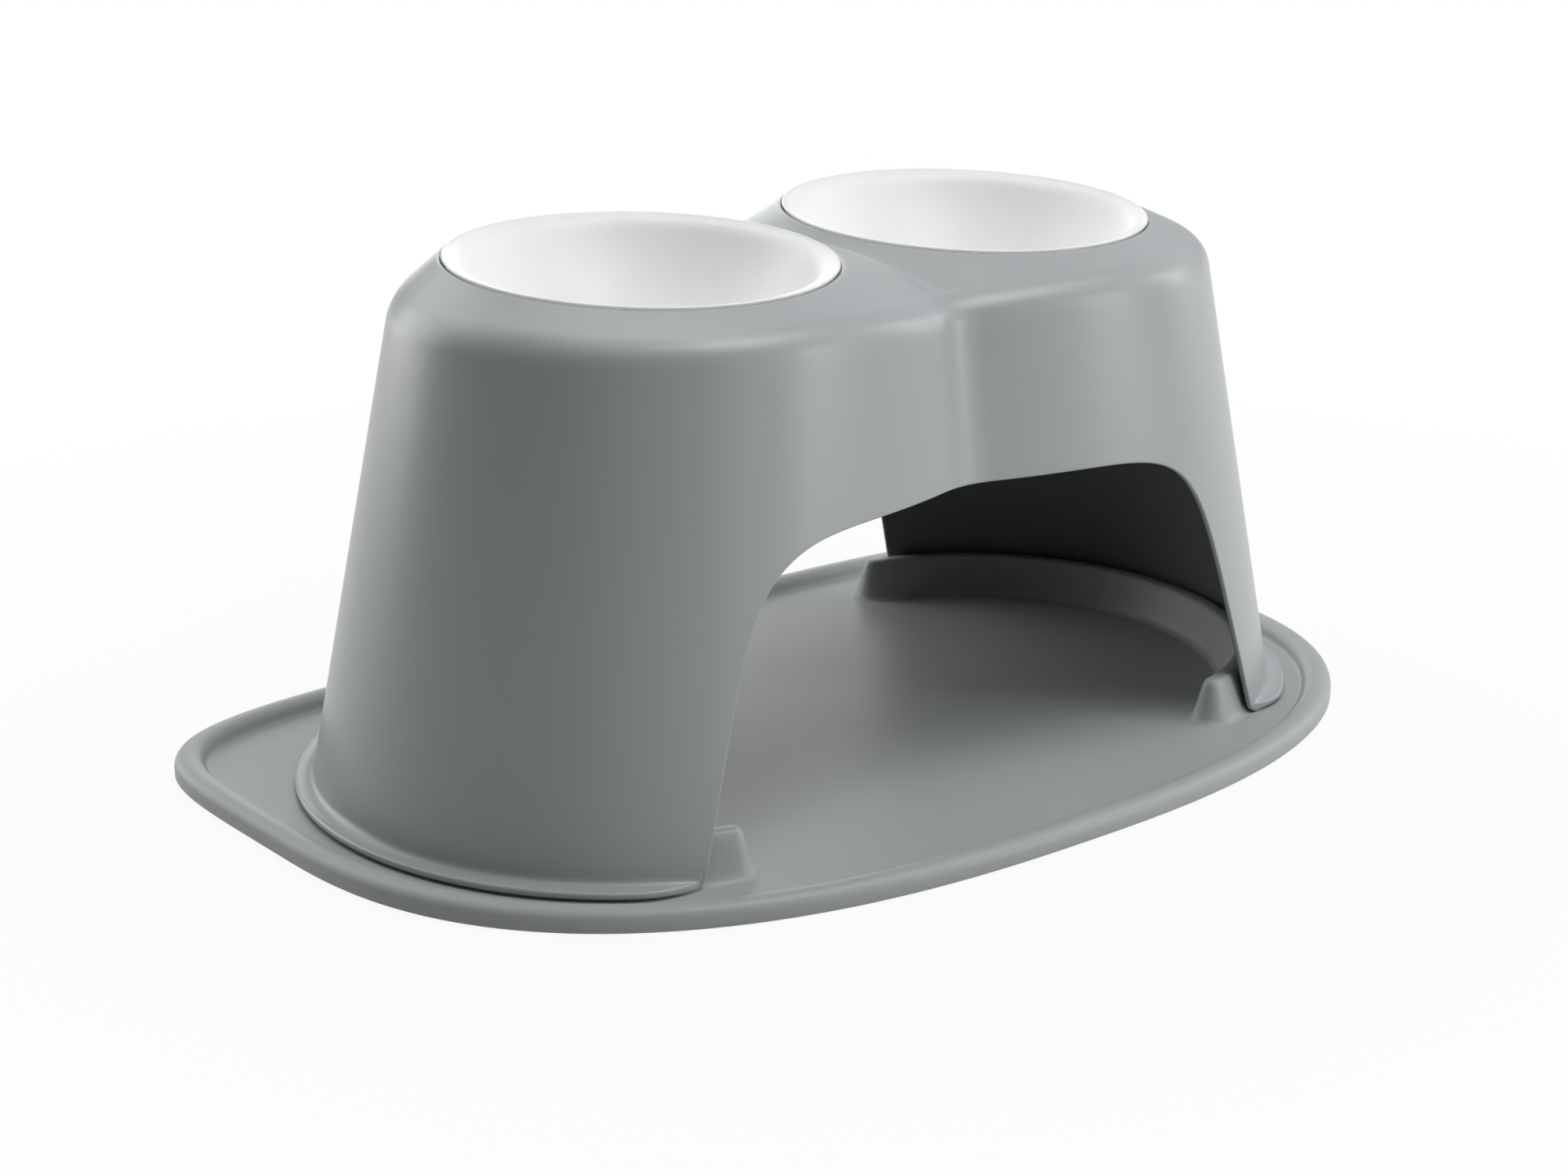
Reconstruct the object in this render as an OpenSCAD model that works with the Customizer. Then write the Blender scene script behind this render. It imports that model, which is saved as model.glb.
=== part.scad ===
// Double pet bowl: a raised feeder with two round bowls, a stand and a mat.
// Millimetres, one shared frame: +X to the viewer's right, +Y to the back, +Z up.
// The origin is the middle of the mat's underside, so z = 0 is the ground.
// The bowls rest in seats in the stand and lift out, and the stand lifts off the mat.

/* [Bowls] */
// Outer radius of a bowl's rim
bowl_r = 94; // [85:0.5:105]
// Height of the middle of the rims above the mat's floor
rim_h = 254; // [220:1:290]
// Lean of both rims towards the front, in degrees
bowl_tilt = 3.3; // [2:0.1:4]
// Half of the gap between the two rims
bowl_gap = 9; // [8:0.5:14]
// Distance of the bowls' middles behind the middle of the stand
bowl_y = 2.4; // [0:0.2:4]
// Thickness of the rim that rests in the seat
lip_t = 4; // [3.5:0.1:5]
// How far the bowl's neck, just below the rim, stands in from the rim's outer edge
neck_in = 7; // [6.8:0.1:8]
// Width of the sloping band on top of the rim
band_w = 9; // [8:0.1:10]
// Fall of that band towards the inside
band_drop = 2.4; // [1.5:0.1:3]
// Rounding of the rim's outer edges
lip_edge = 1; // [0.6:0.1:1.2]
// Depth of the inside below the rim's top
bowl_deep = 52; // [40:1:60]
// Thickness of the bowl's wall
bowl_wall = 2.6; // [2:0.1:3]
// Steepness of the inside: a larger power gives a flatter bottom
bowl_power = 2.5; // [2:0.1:3.5]

/* [Seats] */
// Gap all round the rim in its seat
seat_gap = 0.8; // [0.5:0.1:1]
// How far the rim stands above the stand's top
rim_proud = 1.6; // [1:0.1:2.5]
// How far the edge of the hole below each seat stands in from the rim's outer edge
hole_in = 6; // [5:0.1:6.4]
// Width of the level edge round the seat
edge_w = 2; // [1.5:0.1:3]
// Thickness of the top round the seats
top_t = 5.4; // [5:0.1:7]

/* [Stand] */
// Fall from the rims to the corner line where the walls meet the sloping top
shoulder_drop = 16; // [14:0.5:20]
// How far the middle of the corner line's round end sits inwards of the bowl's middle
shoulder_in = 2; // [0:0.5:4]
// Reach of the corner line past the rim at the far ends
shoulder_end = 30; // [28:0.5:36]
// Reach of the corner line past the rim at the front and back
shoulder_side = 25.5; // [24:0.5:32]
// How far the feet lean outwards from the round ends of the corner line
foot_out = 30; // [24:1:40]
// How much longer a foot's half outline is than that of the corner line
foot_long = 16; // [12:1:24]
// How much wider a foot's half outline is than that of the corner line
foot_side = 32.5; // [26:0.5:40]
// How far the corner line sits towards the front
shoulder_fwd = 2.5; // [1:0.5:4]
// Depth of the waist between the two towers
waist_drop = 18; // [14:0.5:20]
// Half width of the rounding in the waist's crease, as a share of a tower's half length
crease_share = 0.15; // [0.1:0.01:0.2]
// Fall of the corner line towards the waist
waist_dip = 4; // [2:0.5:6]
// Share of each quarter of the outline taken up by the round end
arc_share = 0.6; // [0.56:0.01:0.64]
// Fall from the rims to the top between the bowls
bridge_drop = 5; // [4:0.5:8]
// Length of the rounding on both sides of the corner line
shoulder_round = 11; // [8:0.5:14]
// Thickness of the stand's wall
wall = 3; // [2.5:0.1:3.5]

/* [Arch and flange] */
// Length of each foot beyond the arch
arch_leg = 91.5; // [80:0.5:110]
// Fall from the corner line to the arch's top
arch_top = 89; // [80:1:110]
// Inward lean of the arch's sides, as a share of the height
arch_lean_share = 0.28; // [0.2:0.01:0.3]
// Squareness of the arch's top corners
arch_power = 7; // [5:0.5:9]
// Height of the curved foot of the wall
flange_h = 12; // [9:0.5:14]
// How far the flange stands out from the wall
flange_w = 8.5; // [6:0.5:9]

/* [Mat] */
// Free floor between the flange and the border at each end
mat_end = 6.5; // [5:0.5:20]
// Free floor between the flange and the border at the back, twice
mat_room = 21; // [18:1:40]
// Distance of the mat's longest line behind its middle
mat_wide_y = 22; // [15:1:28]
// Roundness power of the front half's outline
mat_front_power = 2.5; // [2.4:0.1:2.8]
// Roundness power of the back half's outline
mat_back_power = 5.4; // [4.6:0.2:6]
// Thickness of the mat's floor
mat_t = 4; // [3:0.5:5]
// Height of the raised border
border_h = 10.5; // [9:0.5:12]
// Width of the raised border
border_w = 17; // [14:0.5:18]
// Distance of the stand's middle behind the mat's middle
stand_back = 8; // [5:0.5:11]
// Height of the locating ridges above the mat's floor
ridge_h = 22; // [18:1:24]
// Width of a ridge at its base
ridge_base = 20; // [18:0.5:22]
// Width of a ridge at its top
ridge_top = 10; // [8:0.5:11]
// Gap between a ridge's base and the stand's wall
ridge_gap = 2; // [1.8:0.1:3]
// How far a ridge reaches past the legs into the arch
ridge_past = 19; // [12:1:22]

/* [Hidden] */
grey = [0.62, 0.63, 0.63];
white = [0.95, 0.95, 0.95];
// Number of columns of faces along a leg and along half of the arch
leg_n = 14;
arch_n = 18;
// Number of steps along the bridge between the bowls, and round the mat
bridge_n = 10;
mat_n = 96;
// Middle of a bowl, and radii of its neck and of the hole below its seat
bowl_x = bowl_r + bowl_gap;
neck_r = bowl_r - neck_in;
hole_r = bowl_r - hole_in;
// Corner line: height, middle of its round ends, half length and half width
shoulder_h = rim_h - shoulder_drop;
shoulder_x = bowl_x - shoulder_in;
shoulder_a = bowl_r + shoulder_end;
shoulder_b = bowl_r + shoulder_side;
// Feet: middle, half length and half width of their outline
foot_x = shoulder_x + foot_out;
foot_a = shoulder_a + foot_long;
foot_b = shoulder_b + foot_side;
// Height of the top between the bowls, and half width and height of the arch
bridge_h = rim_h - bridge_drop;
arch_half = foot_x + foot_a - arch_leg;
arch_h = shoulder_h - arch_top;
// Half length of the mat, and its width from front to back
mat_half = foot_x + foot_a + flange_w + border_w + mat_end;
mat_w = (foot_b + flange_w + border_w + stand_back) * 2 + mat_room;
// Heights of the rim's underside and of the top's underside, in the tilted frame
seat_w = -lip_t;
land_w = -rim_proud;
under_w = -rim_proud - top_t;
// Height of the corner line at the waist
waist_h = shoulder_h - waist_dip;
// Radii of the level edge round the seat and of the core that the hole removes
edge_r = bowl_r + seat_gap + edge_w;
core_r = hole_r - edge_w * 2;
// Steps of the shoulder's rounding and of the wall
round_shares = [0, 0.16, 0.33, 0.5, 0.67, 0.84, 1];
wall_shares = [0.3, 0.65, 1];
// Curved foot of the wall: height and outward reach of each step
flare_up_shares = [0.6, 0.36, 0.24, 0.16, 0];
flare_out_shares = [0.1, 0.36, 0.72, 1, 0.95];
// Raised border: inward reach and height of each step
border_in_shares = [0.07, 0, 0, 0.04, 0.14, 0.28, 0.46, 0.64, 0.82, 0.96, 1.12];
border_up_shares = [0, 0.12, 0.5, 0.76, 0.92, 1, 0.99, 0.87, 0.66, 0.48, mat_t / border_h];
// Cross-section of a ridge: share of the half width, and share of the height
ridge_out_shares = [-1.2, -1.1, -0.98, -0.9, -0.82, -0.5, 0.5, 0.82, 0.9, 0.98, 1.1, 1.2];
ridge_up_shares = [-0.03, 0.02, 0.12, 0.5, 0.9, 1, 1, 0.9, 0.5, 0.12, 0.02, -0.03];

// Softened distance from the waist, and the waist's hollow made from it
function soft(u) = (u < crease_share ? u * u / (2 * crease_share) : u - crease_share / 2)
  / (1 - crease_share / 2);
function valley(u) = pow(1 - soft(u), 2);

// Quarter outline of the stand: s = 0 at the far end, s = 1 at the waist
function quarter(s, side, cx, a, b, yo) = s < arc_share
  ? [cx + a * cos(90 * s / arc_share), yo + side * b * sin(90 * s / arc_share)]
  : let (u = (1 - s) / (1 - arc_share)) [cx * u, yo + side * (b - waist_drop * valley(u))];
function foot_at(s, side, inset) = quarter(s, side, foot_x, foot_a - inset, foot_b - inset, 0);
function corner_at(s, side, inset) =
  quarter(s, side, shoulder_x, shoulder_a - inset, shoulder_b - inset, -shoulder_fwd);

// Point of the leaning wall at height z
function wall_at(s, side, z, inset) =
  let (f = foot_at(s, side, inset), c = corner_at(s, side, inset), q = z / shoulder_h)
  [f[0] + (c[0] - f[0]) * q, f[1] + (c[1] - f[1]) * q, z];

// Point of the tilted plane round a bowl, w above the rim's top
function ring_at(ang, r, w) = [
  bowl_x + r * cos(ang),
  bowl_y + r * sin(ang) * cos(bowl_tilt) - w * sin(bowl_tilt),
  rim_h + r * sin(ang) * sin(bowl_tilt) + w * cos(bowl_tilt)];
function ring_ang(p) = atan2(p[1] - bowl_y, p[0] - bowl_x);

// Height of the bridge line between the bowls, falling towards the waist's corner
function bridge_z(y, top, low, reach) = top + (low - top) * pow(y / reach, 2);

// Arch: position and height of the cut edge for a direction from 0 to 90
function arch_len(a) = pow(pow(cos(a), arch_power) + pow(sin(a), arch_power), -1 / arch_power);
function arch_z(a) = arch_h * arch_len(a) * sin(a);
function arch_x(a) = (arch_half - arch_lean_share * arch_z(a)) * arch_len(a) * cos(a);
// Share s of the wall column that passes through x at height z
function find_s(x, z, lo, hi, n) = n == 0 ? (lo + hi) / 2
  : let (m = (lo + hi) / 2) wall_at(m, 1, z, 0)[0] > x
  ? find_s(x, z, m, hi, n - 1) : find_s(x, z, lo, m, n - 1);
s_leg = find_s(arch_half, 0, 0, 1, 40);

// One quarter's columns from the waist to the far end: share s, cut height, flange share
function arch_col(i) = let (a = 90 * (arch_n - i) / arch_n)
  i == 0 ? [1, arch_h, 0] : [find_s(arch_x(a), arch_z(a), 0, 1, 40), arch_z(a), 0];
function fade(k) = let (t = min(1, k * 6 / leg_n)) t * t * (3 - 2 * t);
function leg_col(k) = [s_leg * (1 - k / leg_n), 0, fade(k)];
quarter_cols = concat([for (i = [0:arch_n - 1]) arch_col(i)], [for (k = [0:leg_n]) leg_col(k)]);
quarter_n = len(quarter_cols);
cols = concat([for (c = quarter_cols) [c[0], -1, c[1], c[2]]],
  [for (i = [quarter_n - 2:-1:0]) let (c = quarter_cols[i]) [c[0], 1, c[1], c[2]]]);

// Rounded shoulder between the top and the wall of one column
function toward(p, q, d) = p + (q - p) * (d / norm(q - p));
function shoulder_pts(s, side, inset, sink, r_in, w_in, reach) =
  let (
    c = corner_at(s, side, inset),
    u = max(0, (1 - s) / (1 - arc_share)),
    low = shoulder_h - inset - waist_dip,
    k = [c[0], c[1], low + waist_dip * (u < 1 ? 1 - valley(u) : 1)],
    waist = corner_at(1, side, inset),
    y_in = waist[1] - side * reach,
    spine = [0, y_in, bridge_z(y_in, bridge_h - sink, low, waist[1])],
    pull = u < 1 ? pow(1 - u, 3) : 0,
    deck = toward(k, ring_at(ring_ang(k), r_in, w_in), reach),
    d = s == 1 ? spine : deck * (1 - pull) + (k + spine - [0, waist[1], low]) * pull,
    w = wall_at(s, side, k[2] - reach, inset))
  [for (t = round_shares) d * pow(1 - t, 2) + k * 2 * t * (1 - t) + w * pow(t, 2)];

// Closed run of points of one column: top, shoulder, wall, flange, then back up inside
function column(c) =
  let (
    s = c[0],
    side = c[1],
    low = c[2],
    out = flange_w * c[3],
    k = corner_at(s, side, 0),
    ang = ring_ang(k),
    start = shoulder_h - shoulder_round - wall,
    bend = low + flange_h * (low > 0 ? 0.5 : 1),
    reach_in = shoulder_round - wall,
    start_in = waist_h - wall - shoulder_round)
  concat(
    [ring_at(ang, core_r, land_w), ring_at(ang, edge_r, land_w)],
    shoulder_pts(s, side, 0, 0, edge_r, land_w, shoulder_round),
    [for (q = wall_shares) wall_at(s, side, start + (bend - start) * q, 0)],
    [for (i = [0:len(flare_up_shares) - 1]) wall_at(s, side,
      low + (bend - low) * flare_up_shares[i], -out * flare_out_shares[i])],
    [for (q = [0, 0.5]) wall_at(s, side, low + (start_in - low) * q, wall)],
    [for (i = [len(round_shares) - 1:-1:0])
      shoulder_pts(s, side, wall, top_t, edge_r, under_w, reach_in)[i]],
    [ring_at(ang, edge_r, under_w), ring_at(ang, core_r, under_w)]);

n_round = len(round_shares);
rows = 2 + n_round + len(wall_shares) + len(flare_up_shares) + 2 + n_round + 2;
n_cols = len(cols);
top_row = 2;
in_row = rows - 3;

// Bridge between the bowls: the same top and underside, carried along the middle line
function bridge_pts(i) =
  let (
    yf = corner_at(1, -1, 0)[1],
    yb = corner_at(1, 1, 0)[1],
    y0 = yb - shoulder_round,
    y1 = yf + shoulder_round,
    y = y0 + (y1 - y0) * i / bridge_n,
    reach = y < 0 ? yf : yb,
    reach_in = y < 0 ? yf + wall : yb - wall,
    ang = ring_ang([0, y, 0]))
  [ring_at(ang, core_r, land_w), ring_at(ang, edge_r, land_w),
    [0, y, bridge_z(y, bridge_h, waist_h, reach)],
    [0, y, bridge_z(y, bridge_h - top_t, waist_h - wall, reach_in)],
    ring_at(ang, edge_r, under_w), ring_at(ang, core_r, under_w)];

half_pts = concat([for (c = cols) each column(c)], [for (i = [1:bridge_n - 1]) each bridge_pts(i)]);
half_n = len(half_pts);
function at(j, r) = j * rows + r;
// Index of a bridge point: i = 0 and i = bridge_n are the waist's own columns
bridge_rows = [0, 1, top_row, in_row, rows - 2, rows - 1];
function span(i, r) = i == 0 ? at(n_cols - 1, bridge_rows[r])
  : i == bridge_n ? at(0, bridge_rows[r]) : n_cols * rows + (i - 1) * 6 + r;
function quad(a, b, c, d) = [[a, b, c], [a, c, d]];
half_faces = concat(
  [for (j = [0:n_cols - 2], r = [0:rows - 1]) let (q = (r + 1) % rows)
    each quad(at(j, r), at(j + 1, r), at(j + 1, q), at(j, q))],
  [for (i = [0:bridge_n - 1], r = [0, 1, 3, 4, 5]) let (q = (r + 1) % 6)
    each quad(span(i, r), span(i + 1, r), span(i + 1, q), span(i, q))]);
function twin(i) = half_pts[i][0] == 0 ? i : i + half_n;
stand_pts = concat(half_pts, [for (p = half_pts) [-p[0], p[1], p[2]]]);
stand_faces = concat(half_faces, [for (f = half_faces) [twin(f[0]), twin(f[2]), twin(f[1])]]);

// Places something built round a rim's middle at one of the two seats
module at_seat(side) {
  translate([side * bowl_x, stand_back + bowl_y, mat_t + rim_h])
    rotate([bowl_tilt, 0, 0])
      children();
}

// Stepped plug that leaves the seat and the hole below it
module seat_cut() {
  rotate_extrude()
    polygon([[0, seat_w - top_t * 2], [hole_r, seat_w - top_t * 2], [hole_r, seat_w],
      [bowl_r + seat_gap, seat_w], [bowl_r + seat_gap, lip_t], [0, lip_t]]);
}

module stand() {
  color(grey)
    difference() {
      translate([0, stand_back, mat_t])
        polyhedron(stand_pts, stand_faces);
      at_seat(-1)
        seat_cut();
      at_seat(1)
        seat_cut();
    }
}

// Height of a bowl's surface at radius r for an inside whose mouth has radius m
function bowl_z(r, m) = -band_drop - (bowl_deep - band_drop) * (1 - pow(r / m, bowl_power));
inside_r = bowl_r - band_w;
bowl_steps = [0:0.1:1];

module bowl() {
  rotate_extrude()
    polygon(concat(
      [for (q = bowl_steps) [neck_r * q, bowl_z(neck_r * q, neck_r) - bowl_wall]],
      [[neck_r, seat_w], [bowl_r - lip_edge, seat_w], [bowl_r, seat_w + lip_edge],
        [bowl_r, -lip_edge], [bowl_r - lip_edge * 0.3, -lip_edge * 0.3], [bowl_r - lip_edge, 0]],
      [for (q = bowl_steps) [inside_r * (1 - q), bowl_z(inside_r * (1 - q), inside_r)]]));
}

module bowl_left() {
  color(white)
    at_seat(-1)
      bowl();
}

module bowl_right() {
  color(white)
    at_seat(1)
      bowl();
}

// Outline of the mat in a direction, and the same outline moved inwards
mat_front = mat_w / 2 + mat_wide_y;
mat_back = mat_w / 2 - mat_wide_y;
function mat_len(a, p) = pow(pow(abs(cos(a)), p) + pow(abs(sin(a)), p), -1 / p);
function mat_at(a) = let (l = mat_len(a, sin(a) < 0 ? mat_front_power : mat_back_power))
  [mat_half * l * cos(a), mat_wide_y + (sin(a) < 0 ? mat_front : mat_back) * l * sin(a)];
function mat_in(a, d) = let (t = mat_at(a + 0.5) - mat_at(a - 0.5))
  mat_at(a) + [-t[1], t[0]] * (d / norm(t));
n_border = len(border_in_shares);
mat_pts = [for (r = [0:n_border - 1], i = [0:mat_n - 1])
  let (p = mat_in(360 * i / mat_n, border_w * border_in_shares[r]))
  [p[0], p[1], border_h * border_up_shares[r]]];
mat_faces = concat(
  [[for (i = [0:mat_n - 1]) i]],
  [for (r = [0:n_border - 2], i = [0:mat_n - 1])
    let (j = (i + 1) % mat_n, a = r * mat_n, b = a + mat_n)
    each quad(a + i, b + i, b + j, a + j)],
  [[for (i = [mat_n - 1:-1:0]) (n_border - 1) * mat_n + i]]);

// Locating ridge inside one foot: stations of share s, side, size share
ridge_in = wall + ridge_gap + ridge_base / 2;
s_ridge = find_s(arch_half - ridge_past, 0, 0, 1, 40);
end_size_shares = [0.3, 0.62, 0.82, 0.94];
end_step_shares = [0, 0.012, 0.028, 0.048];
ridge_steps = 12;
ridge_quarter = concat(
  [for (i = [0:3]) [s_ridge - end_step_shares[i], end_size_shares[i]]],
  [for (i = [0:ridge_steps - 1]) [(s_ridge - 0.07) * (1 - i / ridge_steps), 1]]);
ridge_n = len(ridge_quarter);
ridge_cols = concat([for (c = ridge_quarter) [c[0], -1, c[1]]], [[0, 1, 1]],
  [for (i = [ridge_n - 1:-1:0]) let (c = ridge_quarter[i]) [c[0], 1, c[1]]]);
n_sect = len(ridge_out_shares);
// Half width of the ridge at a share of its height
function ridge_wide(u) = (ridge_base + (ridge_top - ridge_base) * max(0, u)) / 2;
function ridge_pt(c, k) = let (
  p = foot_at(c[0], c[1], ridge_in - ridge_out_shares[k] * ridge_wide(ridge_up_shares[k]) * c[2]))
  [p[0], p[1], ridge_h * ridge_up_shares[k] * c[2]];
ridge_pts = [for (c = ridge_cols, k = [0:n_sect - 1]) ridge_pt(c, k)];
n_stat = len(ridge_cols);
ridge_faces = concat(
  [for (k = [1:n_sect - 2]) [0, k, k + 1]],
  [for (j = [0:n_stat - 2], k = [0:n_sect - 1]) let (q = (k + 1) % n_sect, a = j * n_sect)
    each quad(a + k, a + n_sect + k, a + n_sect + q, a + q)],
  [for (k = [1:n_sect - 2]) let (a = (n_stat - 1) * n_sect) [a, a + k + 1, a + k]]);

module mat() {
  color(grey)
    union() {
      polyhedron(mat_pts, mat_faces);
      translate([0, stand_back, mat_t])
        polyhedron(ridge_pts, ridge_faces);
      translate([0, stand_back, mat_t])
        mirror([1, 0, 0])
          polyhedron(ridge_pts, ridge_faces);
    }
}

mat();
stand();
bowl_left();
bowl_right();
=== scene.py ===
"""Double pet bowl: dressed pieces, materials, light and camera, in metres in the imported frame."""

import math

import bmesh
import bpy
import numpy as np
from mathutils import Matrix, Vector


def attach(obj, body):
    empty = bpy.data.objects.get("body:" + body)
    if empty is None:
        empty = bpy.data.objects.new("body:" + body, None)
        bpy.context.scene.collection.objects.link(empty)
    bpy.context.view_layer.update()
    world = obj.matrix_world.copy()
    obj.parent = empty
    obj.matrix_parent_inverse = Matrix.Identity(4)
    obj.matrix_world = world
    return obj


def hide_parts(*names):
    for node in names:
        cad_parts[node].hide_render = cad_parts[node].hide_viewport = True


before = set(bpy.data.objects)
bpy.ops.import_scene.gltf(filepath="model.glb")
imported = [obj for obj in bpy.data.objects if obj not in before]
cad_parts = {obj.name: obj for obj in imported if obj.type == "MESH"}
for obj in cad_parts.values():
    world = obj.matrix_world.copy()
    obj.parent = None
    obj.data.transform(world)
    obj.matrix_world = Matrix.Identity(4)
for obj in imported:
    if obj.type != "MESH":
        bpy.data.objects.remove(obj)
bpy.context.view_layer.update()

MM = 0.001
RAD = math.pi / 180

# Sizes of the part in millimetres, as in the CAD source. Only the play round the dishes and the rounding
# of the seat's upper edge (SEAT_GAP, EDGE_W) are finer here.
BOWL_R, RIM_H, TILT, BOWL_X, BOWL_Y = 94, 254, 3.3, 103, 2.4
LIP_T, NECK_R, BAND_W, BAND_DROP = 4, 87, 9, 2.4
BOWL_DEEP, BOWL_WALL, BOWL_POWER = 52, 2.6, 2.5
SEAT_GAP, RIM_PROUD, HOLE_R, EDGE_W, TOP_T = 0.6, 1.6, 88, 0.8, 5.4
FOOT_X, FOOT_A, FOOT_B = 131, 140, 152
SHOULDER_H, SHOULDER_X, SHOULDER_A, SHOULDER_B, SHOULDER_FWD = 238, 101, 124, 119.5, 2.5
WAIST_DROP, CREASE, WAIST_DIP, ARC, BRIDGE_H, ROUND, WALL = 18, 0.15, 4, 0.6, 249, 11, 3
ARCH_HALF, ARCH_H, ARCH_LEAN, ARCH_POWER = 179.5, 149, 0.28, 7
FLANGE_H = 12
MAT_HALF, MAT_W, MAT_WIDE_Y, MAT_FRONT_P, MAT_BACK_P = 303, 392, 22, 2.5, 5.4
MAT_T, BORDER_H, BORDER_W, STAND_BACK = 4, 10.5, 17, 8
RIDGE_H, RIDGE_BASE, RIDGE_TOP, RIDGE_GAP, RIDGE_PAST = 22, 20, 10, 2, 19
SEAT_Z, LAND_Z, UNDER_Z = -LIP_T, -RIM_PROUD, -RIM_PROUD - TOP_T
SEAT_R, EDGE_R = BOWL_R + SEAT_GAP, BOWL_R + SEAT_GAP + EDGE_W
WAIST_H = SHOULDER_H - WAIST_DIP


# ---- shape functions shared by the stand and the mat ----


def soft(u, k=CREASE):
    """Distance from a crease with a rounded start of half width k, 0 at u = 0 and 1 at u = 1."""
    return (u * u / (2 * k) if u < k else u - k / 2) / (1 - k / 2)


def valley(u):
    """Share of the waist's depth, 1 at the crease (u = 0) and 0 where the round end starts (u = 1)."""
    return (1 - soft(u)) ** 2


def quarter(s, side, cx, a, b, yo):
    """Quarter outline of the stand: s = 0 at the far end, s = 1 at the waist."""
    if s < ARC:
        t = s / ARC * math.pi / 2
        return cx + a * math.cos(t), yo + side * b * math.sin(t)
    u = (1 - s) / (1 - ARC)
    return cx * u, yo + side * (b - WAIST_DROP * valley(u))


def foot_at(s, side, inset):
    """Point of the stand's foot, at the mat's floor."""
    return quarter(s, side, FOOT_X, FOOT_A - inset, FOOT_B - inset, 0)


def corner_at(s, side, inset):
    """Point of the sharp shoulder, before it is rounded."""
    return quarter(s, side, SHOULDER_X, SHOULDER_A - inset, SHOULDER_B - inset, -SHOULDER_FWD)


def wall_at(s, side, z, inset):
    """Point of the wall at height z, on the straight line from the foot to the shoulder."""
    f, c, q = foot_at(s, side, inset), corner_at(s, side, inset), z / SHOULDER_H
    return np.array([f[0] + (c[0] - f[0]) * q, f[1] + (c[1] - f[1]) * q, z])


def ring_at(ang, r, w):
    """Point of the tilted plane round a bowl, w above the rim's top."""
    t = TILT * RAD
    return np.array([
        BOWL_X + r * math.cos(ang),
        BOWL_Y + r * math.sin(ang) * math.cos(t) - w * math.sin(t),
        RIM_H + r * math.sin(ang) * math.sin(t) + w * math.cos(t),
    ])


def ring_ang(p):
    """Angle of a point round the right bowl's middle."""
    return math.atan2(p[1] - BOWL_Y, p[0] - BOWL_X)


def bridge_z(y, top, low, reach):
    """Height of the saddle between the bowls: top in the middle, low at the waist."""
    return top + (low - top) * (y / reach) ** 2


def find_s(x, z):
    """Share s of the wall's straight line that passes through x at height z."""
    lo, hi = 0.0, 1.0
    for _ in range(44):
        m = (lo + hi) / 2
        if wall_at(m, 1, z, 0)[0] > x:
            lo = m
        else:
            hi = m
    return (lo + hi) / 2


def arch_point(a):
    """Half of the arch's cut edge, from the mat (a = 0) to the crown (a = 90 degrees)."""
    c, s = math.cos(a), math.sin(a)
    length = (c**ARCH_POWER + s**ARCH_POWER) ** (-1 / ARCH_POWER)
    z = ARCH_H * length * s
    return (ARCH_HALF - ARCH_LEAN * z) * length * c, z


# ---- mesh helpers ----

# Points closer than this, in metres, become one
MERGE = 1e-6


def make_mesh(name, verts, faces, mats):
    """Smooth-shaded object from points in millimetres; mats is one material index per face."""
    me = bpy.data.meshes.new(name)
    bm = bmesh.new()
    vs = [bm.verts.new(Vector(v) * MM) for v in verts]
    bm.verts.ensure_lookup_table()
    for f, m in zip(faces, mats):
        if len({vs[i] for i in f}) == len(f):
            face = bm.faces.new([vs[i] for i in f])
            face.material_index = m
            face.smooth = True
    bmesh.ops.remove_doubles(bm, verts=bm.verts, dist=MERGE)
    bmesh.ops.dissolve_degenerate(bm, edges=bm.edges, dist=MERGE)
    bmesh.ops.recalc_face_normals(bm, faces=bm.faces)
    bm.to_mesh(me)
    bm.free()
    ob = bpy.data.objects.new(name, me)
    bpy.context.scene.collection.objects.link(ob)
    return ob


def mirror_x(verts, faces, mats):
    """The right half with its mirror image."""
    n = len(verts)
    both = list(verts) + [(-v[0], v[1], v[2]) for v in verts]
    return both, list(faces) + [tuple(n + i for i in reversed(f)) for f in faces], list(mats) * 2


# ---- stand: one closed thin shell, built as closed columns round each tower ----

# Numbers of columns and rows
LEG_N, ARCH_N, FOOT_N, BRIDGE_N, DECK_N, ROUND_N, WALL_N, SEAT_N = 40, 72, 6, 44, 12, 10, 14, 5
# Flange, from the wall down to the mat: height above the mat's floor and reach from the wall
FLARE = [(9.4, 0.03), (8.0, 0.1), (7.0, 0.28), (6.2, 0.62), (5.6, 1.1), (5.15, 1.75), (4.8, 2.55),
         (4.6, 3.4), (4.42, 4.3), (4.32, 5.3), (4.28, 6.2), (4.38, 6.85), (4.45, 7.3), (4.4, 7.75),
         (4.15, 8.15), (3.7, 8.4), (3.1, 8.5), (2.4, 8.45), (1.85, 8.2), (1.5, 7.8), (1.35, 7.2),
         (1.2, 6.2), (0.7, 5.2), (0.0, 4.8)]
# Softened cut edge of the arch: its radius, then for each row the shares of that radius by which the row
# stands back from the cut and lies in the wall
EDGE = 0.85
CUT = [(1 - math.sin(t), 1 - math.cos(t)) for t in np.linspace(0, math.pi / 2, 6)[1:]]
# Lengths at the arch's feet: the flange's taper, where the taper starts, and the radius of the wall's
# rounded bottom corner
TAPER, TAPER_START, FOOT_R = 30, 2.4, 6
# First columns past that corner, as distances from the arch; the rest follow evenly
LEG_STARTS = [3.3, 4.2, 5.2, 6.4, 8, 10, 12.5]
# The arch's columns stand closer together near its rounded shoulder than at its ends
CROWD = 1.25
# Half width of the rounding in the deck's valley, as a share of the deck's width
VALLEY = 0.22


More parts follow.
